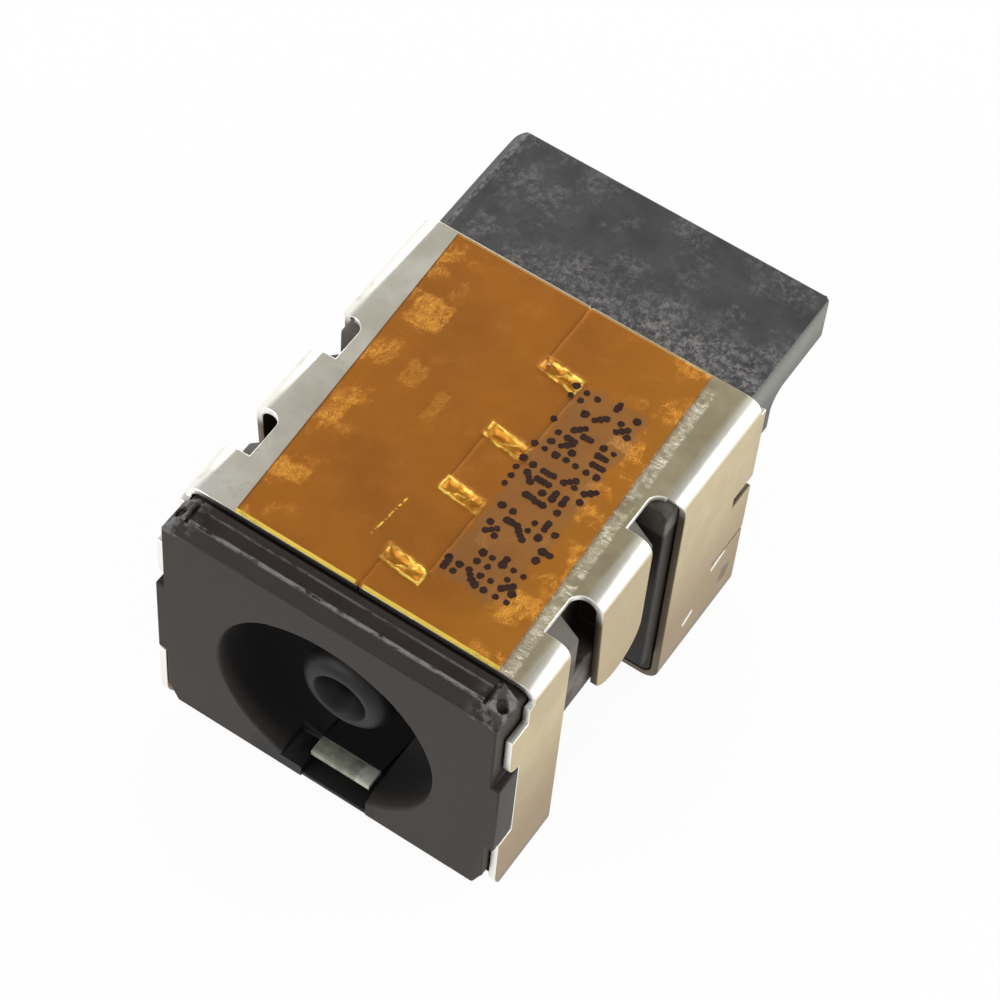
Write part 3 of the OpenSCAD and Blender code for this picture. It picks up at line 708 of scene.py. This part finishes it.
def make_rim(piece):
    """An arc of the bore's lead-in, which fills the upper leaf's groove at the face."""
    face = FACE_Y + HAIR
    lead_in, bore, outside = BORE_R + LEAD_IN, BORE_R + HAIR / 2, BORE_R + RIM_WALL
    outline = [
        (face, lead_in),
        (FACE_Y + LEAD_IN_DEPTH, bore),
        (FACE_Y + MOUTH_DEPTH, bore),
        (FACE_Y + MOUTH_DEPTH, outside),
        (face, outside),
    ]
    mesh = bpy.data.meshes.new("rim")
    corners = [(0, y * MM, (AXIS_Z + r) * MM) for y, r in outline]
    mesh.from_pydata(corners, [], [range(len(corners))])
    rim = bpy.data.objects.new("rim", mesh)
    bpy.context.scene.collection.objects.link(rim)
    only(rim)
    bpy.ops.object.mode_set(mode="EDIT")
    bpy.ops.mesh.select_all(action="SELECT")
    middle = (0, 0, AXIS_Z * MM)
    # rotate turns the other way round than spin, so this puts the arc's middle on top
    bpy.ops.transform.rotate(value=-RIM_TURN / 2, orient_axis="Y", center_override=middle)
    bpy.ops.mesh.spin(steps=24, angle=RIM_TURN, center=middle, axis=(0, 1, 0))
    bpy.ops.mesh.select_all(action="SELECT")
    bpy.ops.mesh.normals_make_consistent(inside=False)
    bpy.ops.object.mode_set(mode="OBJECT")
    bpy.ops.object.shade_smooth_by_angle(angle=math.radians(30))
    mesh.materials.append(piece.data.materials[0])
    return rim


def make_sill(piece):
    """A sill that closes the lower leaf's pocket in the flange's underside."""
    low, high = FLANGE_LOW - FLANGE_DROP, FLANGE_LOW - SILL_DROP
    middle = (0, SILL_MIDDLE_Y * MM, (low + high) / 2 * MM)
    bpy.ops.mesh.primitive_cube_add(size=MM, location=middle)
    sill = bpy.context.object
    only(sill)
    sill.scale = (SILL_WIDTH, MOUTH_DEPTH, high - low)
    bpy.ops.object.transform_apply(location=True, rotation=True, scale=True)
    rounding = sill.modifiers.new("rounding", "BEVEL")
    rounding.width = 0.03 * MM
    rounding.segments = 2
    bpy.ops.object.modifier_apply(modifier=rounding.name)
    sill.data.materials.clear()
    sill.data.materials.append(piece.data.materials[0])
    bpy.ops.object.shade_smooth_by_angle(angle=math.radians(35))
    return sill


def finish_mouth(piece):
    """Takes the flange's underside down a little, and joins the sill and the rim to it."""
    only(piece)
    bpy.ops.object.mode_set(mode="EDIT")
    bpy.ops.mesh.select_mode(type="VERT")
    bpy.ops.mesh.select_all(action="DESELECT")
    shape = bmesh.from_edit_mesh(piece.data)
    # the underside and its broken edges, ahead of the shell and short of the side faces
    for vertex in shape.verts:
        x, y, z = vertex.co / MM
        under = abs(z - FLANGE_LOW) < 0.07 and y < SHELL_FRONT - 0.28
        vertex.select = under and abs(x) < SHELL_HALF - 0.25
    shape.select_flush_mode()
    bmesh.update_edit_mesh(piece.data)
    bpy.ops.transform.translate(value=(0, 0, -FLANGE_DROP * MM))
    bpy.ops.object.mode_set(mode="OBJECT")
    sill = make_sill(piece)
    rim = make_rim(piece)
    only(piece)
    sill.select_set(True)
    rim.select_set(True)
    bpy.ops.object.join()


def off_section(x, z, inwards):
    """How far a point lies off the shell's rounded section, drawn in by inwards."""
    r = FOLD_R - inwards
    half_x = SHELL_HALF - FOLD_R
    half_z = SHELL_TOP / 2 - FOLD_R
    dx = max(abs(x) - half_x, 0)
    dz = max(abs(z - SHELL_TOP / 2) - half_z, 0)
    if dx and dz:
        return abs(math.hypot(dx, dz) - r)
    return abs(max(abs(x) - half_x, abs(z - SHELL_TOP / 2) - half_z) - r)


def mark_cut_edges(piece):
    """Marks the sheet's cut edges, which are bare and brighter than its faces."""
    marks = piece.data.attributes.new("cut_edge", "FLOAT", "FACE")
    # the sheet's own faces lie on its outer or inner section, and its cut edges don't
    for face in piece.data.polygons:
        x, z = face.center.x / MM, face.center.z / MM
        off = min(off_section(x, z, 0), off_section(x, z, SHEET_T))
        marks.data[face.index].value = 1.0 if off > 0.012 else 0.0


def dress(piece, finish):
    """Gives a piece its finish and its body."""
    piece.data.materials.clear()
    piece.data.materials.append(finish.material)
    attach(piece, "root")


# ---- Tape -----------------------------------------------------------------


def smooth_step(value, start, end):
    """0 up to start and 1 from end on, with a smooth climb between them."""
    t = min(max((value - start) / (end - start), 0.0), 1.0)
    return t * t * (3 - 2 * t)


def window_list():
    """Middle of each relief window across the seam, and which end is painted lit: (x, y, end).
    """
    windows = []
    for i in range(2):
        first = SEAM_FIRST + i * SEAM_PITCH
        windows.append((SEAM_REACH / 2, first - WINDOW_OUT, 1 - 2 * i))
        windows.append((SEAM_REACH / 2, first + SEAM_LEN + WINDOW_OUT, 2 * i - 1))
    return windows


WINDOWS = window_list()


def seam_x(y):
    """Where the seam runs at this distance along the shell."""
    for i in range(2):
        start = SEAM_FIRST + i * SEAM_PITCH
        if start < y < start + SEAM_LEN:
            return SEAM_REACH
    return 0.0


def tape_height(x, y):
    """Height of the tape's upper side over the shell's top."""
    height = TAPE_T
    # it lies into the seam
    height -= 0.02 * math.exp(-(((x - seam_x(y)) / 0.05) ** 2))
    wander = noise.noise(Vector((x * 2.2, y * 2.2, 3.0)))
    crumple = noise.noise(Vector((x * 6.0, y * 6.0, 9.0)))
    for wx, wy, _ in WINDOWS:
        dx = abs(x - wx) - SEAM_REACH / 2 + 0.06 * wander
        dy = abs(y - wy + WINDOW_LEAN * (x - wx)) - WINDOW_HALF + 0.05 * wander
        gap = max(dx, dy)
        # pressed in over the opening, with a raised crinkled rim
        height -= 0.1 * smooth_step(-gap, 0.0, 0.14) * (0.8 + 0.6 * crumple)
        height += 0.05 * math.exp(-((gap / 0.05) ** 2)) * (0.6 + crumple)
    height += 0.006 * wander
    # and its front edge goes down at a slant
    height -= SLANT_DROP * max(0.0, 1 - (y - SHELL_FRONT) / FRONT_SLANT)
    return height


def make_tape(finish):
    """The film: a leaning grid cut square to the jack, bent into relief and thickened."""
    bpy.ops.mesh.primitive_grid_add(
        x_subdivisions=150,
        y_subdivisions=220,
        size=MM,
        location=(0, TAPE_MIDDLE_Y * MM, SHELL_TOP * MM),
        rotation=(0, 0, TAPE_SKEW),
    )
    piece = bpy.context.object
    only(piece)
    piece.name = "amber_tape"
    piece.data.name = "amber_tape"
    piece.scale = (2 * TAPE_HALF, TAPE_LEN + 1.0, 1)
    bpy.ops.object.transform_apply(location=True, rotation=True, scale=True)
    bpy.ops.object.mode_set(mode="EDIT")
    for place, side in ((tape_low[1] + HAIR, -1), (tape_high[1], 1)):
        bpy.ops.mesh.select_all(action="SELECT")
        bpy.ops.mesh.bisect(
            plane_co=(0, place * MM, 0), plane_no=(0, side, 0), clear_outer=True,
            threshold=1e-7,
        )
    bpy.ops.mesh.select_all(action="SELECT")
    bpy.ops.mesh.bisect(
        plane_co=(0, (SHELL_FRONT + FRONT_SLANT) * MM, 0), plane_no=(0, 1, 0), threshold=1e-7
    )
    bpy.ops.object.mode_set(mode="OBJECT")
    for vertex in piece.data.vertices:
        x, y = vertex.co.x / MM, vertex.co.y / MM
        vertex.co.z = (SHELL_TOP + tape_height(x, y)) * MM
    wall = piece.modifiers.new("film", "SOLIDIFY")
    wall.thickness = FILM_T * MM
    wall.offset = -1
    bpy.ops.object.modifier_apply(modifier=wall.name)
    bpy.ops.object.shade_smooth_by_angle(angle=math.radians(25))
    dress(piece, finish)
    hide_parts("tape")
    return piece


# ---- Dot print ------------------------------------------------------------

# dots in rows across the jack, with a gap after every BLOCK_ROWS rows
DOT_PITCH_X = 0.275
DOT_PITCH_Y = 0.262
DOT_R = 0.085
PRINT_X = 1.22
PRINT_Y = SHELL_FRONT + 1.5
PRINT_ROWS = 23
PRINT_COLUMNS = 7
BLOCK_ROWS = 4


def ink_dot(shape, x, y, r, rng):
    """One uneven dot of ink, laid on the tape."""
    sides = 14
    places = []
    for k in range(sides):
        a = 2 * math.pi * k / sides
        reach = r * rng.uniform(0.88, 1.12)
        places.append((x + reach * math.cos(a), y + reach * math.sin(a)))
    top = SHELL_TOP + max(tape_height(*place) for place in places) + HAIR
    shape.faces.new([shape.verts.new((px * MM, py * MM, top * MM)) for px, py in places])


def make_dots(finish):
    """A band of ink dots scattered on a grid, many of them run into a neighbour."""
    mesh = bpy.data.meshes.new("ink_dots")
    piece = bpy.data.objects.new("ink_dots", mesh)
    bpy.context.scene.collection.objects.link(piece)
    shape = bmesh.new()
    rng = random.Random(11)
    lean = math.tan(TAPE_SKEW)
    for row in range(PRINT_ROWS):
        if row % (BLOCK_ROWS + 1) == BLOCK_ROWS:
            continue
        for column in range(PRINT_COLUMNS):
            if rng.random() > 0.6:
                continue
            y = PRINT_Y + row * DOT_PITCH_Y + rng.uniform(-0.02, 0.02)
            x = PRINT_X + column * DOT_PITCH_X + rng.uniform(-0.02, 0.02)
            x -= lean * row * DOT_PITCH_Y
            ink_dot(shape, x, y, DOT_R * rng.uniform(0.85, 1.3), rng)
            if rng.random() > 0.62:
                step_x, step_y = rng.choice([(1, 0), (0, 1), (1, 1), (1, -1)])
                for share in (0.35, 0.7):
                    run_x = x + share * step_x * DOT_PITCH_X
                    run_y = y + share * step_y * DOT_PITCH_Y
                    ink_dot(shape, run_x, run_y, DOT_R * rng.uniform(0.9, 1.15), rng)
    shape.to_mesh(mesh)
    shape.free()
    dress(piece, finish)
    return piece


# ---- Studio ---------------------------------------------------------------

LAMP_TARGET = Vector((0, 0, 0.004))


def set_floor():
    """White paper: the lit floor takes shadows, and looks white to the lens."""
    bpy.ops.mesh.primitive_plane_add(size=3, location=(0, 0, -0.00001))
    floor = bpy.context.object
    floor.name = "studio_floor"
    material = bpy.data.materials.new("studio_floor")
    graph = Graph(material)
    graph.tree.nodes.clear()
    paper = graph.add("ShaderNodeBsdfDiffuse", {}, {"Color": (0.96, 0.96, 0.96, 1)})
    white = graph.add("ShaderNodeEmission", {}, {"Color": (1, 1, 1, 1)})
    seen = graph.add("ShaderNodeLightPath", output="Is Camera Ray")
    mirrored = graph.add("ShaderNodeLightPath", output="Is Glossy Ray")
    share = seen.greater(mirrored) * 0.95
    mix = graph.add("ShaderNodeMixShader", {}, {0: share, 1: paper, 2: white})
    graph.add("ShaderNodeOutputMaterial", {}, {"Surface": mix})
    floor.data.materials.append(material)


def set_world():
    """A light tent, brighter low down than overhead, and white to the lens."""
    world = bpy.data.worlds.new("studio")
    bpy.context.scene.world = world
    graph = Graph(world)
    graph.tree.nodes.clear()
    height = graph.parts(graph.add("ShaderNodeTexCoord", output="Generated"))[2]
    levels = ((0.0, 0.95), (0.35, 0.95), (0.6, 0.55), (0.8, 0.42), (1.0, 0.42))
    stops = [(position, (level, level, level * 0.985)) for position, level in levels]
    ramp = graph.add("ShaderNodeValToRGB", {"stops": stops}, {0: height})
    tent = graph.add("ShaderNodeBackground", {}, {"Color": ramp})
    white = graph.add("ShaderNodeBackground", {}, {"Color": (1, 1, 1, 1)})
    seen = graph.add("ShaderNodeLightPath", output="Is Camera Ray")
    mix = graph.add("ShaderNodeMixShader", {}, {0: seen, 1: tent, 2: white})
    graph.add("ShaderNodeOutputWorld", {}, {"Surface": mix})


def set_lamp(name, place, size, power):
    """A soft rectangular lamp that the camera doesn't see; places in metres."""
    light = bpy.data.lights.new(name, "AREA")
    light.shape = "RECTANGLE"
    light.size, light.size_y = size
    light.energy = power
    lamp = bpy.data.objects.new(name, light)
    aim = (LAMP_TARGET - Vector(place)).to_track_quat("-Z", "Y")
    lamp.matrix_world = Matrix.Translation(place) @ aim.to_matrix().to_4x4()
    lamp.visible_camera = False
    bpy.context.scene.collection.objects.link(lamp)


def set_studio():
    """Floor, light tent and three soft lamps, shown without a tone curve."""
    bpy.context.scene.view_settings.view_transform = "Standard"
    set_floor()
    set_world()
    set_lamp("side_box", (0.11, 0.065, 0.04), (0.12, 0.07), 0.13)
    set_lamp("front_box", (-0.06, -0.11, 0.07), (0.1, 0.06), 0.08)
    set_lamp("back_box", (-0.08, 0.1, 0.05), (0.1, 0.05), 0.05)


# ---- Assembly -------------------------------------------------------------

set_camera()

plate = shell_plate()
black = black_moulding()
dusty = dusty_moulding()
grey = grey_post()
tin = leaf_plate()
gold = gold_plate()
amber = amber_film()
ink = black_ink()

mark_cut_edges(carry_over("shield_shell", "folded_shell", plate, 0.03))
housing = carry_over("front_housing", "socket_housing", black, 0.05, room=0.11)
finish_mouth(housing)
carry_over("terminal_block", "roof_block", dusty, 0.05, room=0.11)
carry_over("centre_post", "pin_post", grey, 0.03)
carry_over("ground_leaf_lower", "lower_leaf", tin, 0.015)
carry_over("ground_leaf_upper", "upper_leaf", tin, 0.015)
carry_over("signal_contact", "pin_sleeve", gold, 0.015)
carry_over("inner_contact_left", "inner_spring_left", gold, 0.015)
carry_over("inner_contact_right", "inner_spring_right", gold, 0.015)
make_tape(amber)
make_dots(ink)
set_studio()
